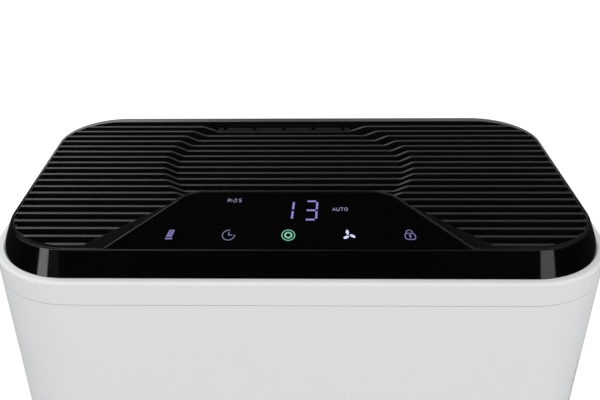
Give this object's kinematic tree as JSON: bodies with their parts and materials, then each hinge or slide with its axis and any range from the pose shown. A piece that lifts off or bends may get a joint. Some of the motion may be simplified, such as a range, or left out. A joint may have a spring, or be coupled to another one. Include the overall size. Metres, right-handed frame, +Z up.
{
  "type": "air purifier",
  "caption": "Upright air purifier with a flared black lid, a louvred air outlet round a shallow dish, a touch console, a lift-off front cover, filters and a centrifugal fan.",
  "frame": {"origin": "middle of the footprint, on the floor under the feet", "axes": "+X to the right seen from the front, +Y to the back, +Z up; the front cover faces -Y"},
  "size_m": [0.396, 0.222, 0.56],
  "materials": {
    "casing": "fine satin moulded ABS, light grey",
    "grip": "satin moulded, mid grey",
    "gloss_black": "polished piano black",
    "lens": "smoked acrylic, polished",
    "satin_black": "satin moulded, black",
    "dark_plastic": "plain moulded, near black",
    "rubber": "matt",
    "steel": "zinc plated",
    "bearing_steel": "ground",
    "circuit_board": "solder-masked laminate",
    "components": "moulded component bodies",
    "display": "moulded, black face",
    "touch_spring": "conductive foam",
    "led": "clear moulded",
    "bay": "plain moulded, off-white",
    "lattice": "plain moulded, dark grey",
    "mesh": "woven nylon mesh",
    "card": "coated board",
    "filter_paper": "glass-fibre paper, pleated",
    "carbon": "carbon-loaded foam",
    "ribbon": "woven tape",
    "wheel": "glass-filled moulded",
    "nut": "turned",
    "copper": "enamelled copper windings",
    "motor_metal": "die cast",
    "sensor": "plain moulded",
    "pin_metal": "plated",
    "wire": "PVC sleeve",
    "reed": "moulded"
  },
  "bodies": {
    "body": {"base_tray": "casing", "rubber_feet": "rubber", "rear_casing": "casing", "catch_plates": "steel", "grip_left": "grip", "grip_right": "grip", "lid_band": "gloss_black", "top_grille": "satin_black", "console_lens": "lens", "console_box": "dark_plastic", "control_board": "circuit_board", "digit_display": "display", "touch_pads": "touch_spring", "key_leds": "led", "filter_bay": "bay", "bay_seal": "rubber", "inlet_guard": "dark_plastic", "scroll_front": "dark_plastic", "scroll_back": "dark_plastic", "outlet_duct": "dark_plastic", "motor_stator": "copper", "motor_can": "motor_metal", "motor_bearings": "bearing_steel", "motor_bushes": "rubber", "motor_screws": "steel", "dust_sensor": "sensor", "power_board": "circuit_board", "board_parts": "components", "board_tray": "dark_plastic", "mains_inlet": "dark_plastic", "inlet_pins": "pin_metal", "wiring_harness": "wire", "casing_screws": "steel", "reed_switch": "reed", "lid_screws": "steel"},
    "fan": {"fan_wheel": "wheel", "wheel_nut": "nut", "motor_shaft": "steel", "motor_rotor": "steel"},
    "cover": {"front_cover": "casing", "cover_magnets": "steel"},
    "pre_filter": {"pre_filter_frame": "lattice", "pre_filter_mesh": "mesh"},
    "cartridge": {"filter_frame": "card", "filter_pleats": "filter_paper", "carbon_sheet": "carbon", "pull_tabs": "ribbon"},
    "door": {"sensor_door": "casing"}
  },
  "joints": [
    {"name": "fan_spin", "type": "hinge", "parent": "body", "child": "fan", "pos_m": [-0.01, 0, 0.281], "axis": [0, 1, 0], "continuous": true},
    {"name": "cover_pull", "type": "slide", "parent": "body", "child": "cover", "axis": [0, -1, 0], "range_m": [0, 0.3]},
    {"name": "pre_filter_pull", "type": "slide", "parent": "body", "child": "pre_filter", "axis": [0, -1, 0], "range_m": [0, 0.18]},
    {"name": "cartridge_pull", "type": "slide", "parent": "body", "child": "cartridge", "axis": [0, -1, 0], "range_m": [0, 0.09]},
    {"name": "door_swing", "type": "hinge", "parent": "body", "child": "door", "pos_m": [0.19675, 0.03, 0.40125], "axis": [0, 1, 0], "range_deg": [0, 85]}
  ],
  "couplings": [
    {"joint": "pre_filter_pull", "follows": "cover_pull", "ratio": 0.6},
    {"joint": "cartridge_pull", "follows": "cover_pull", "ratio": 0.3}
  ]
}
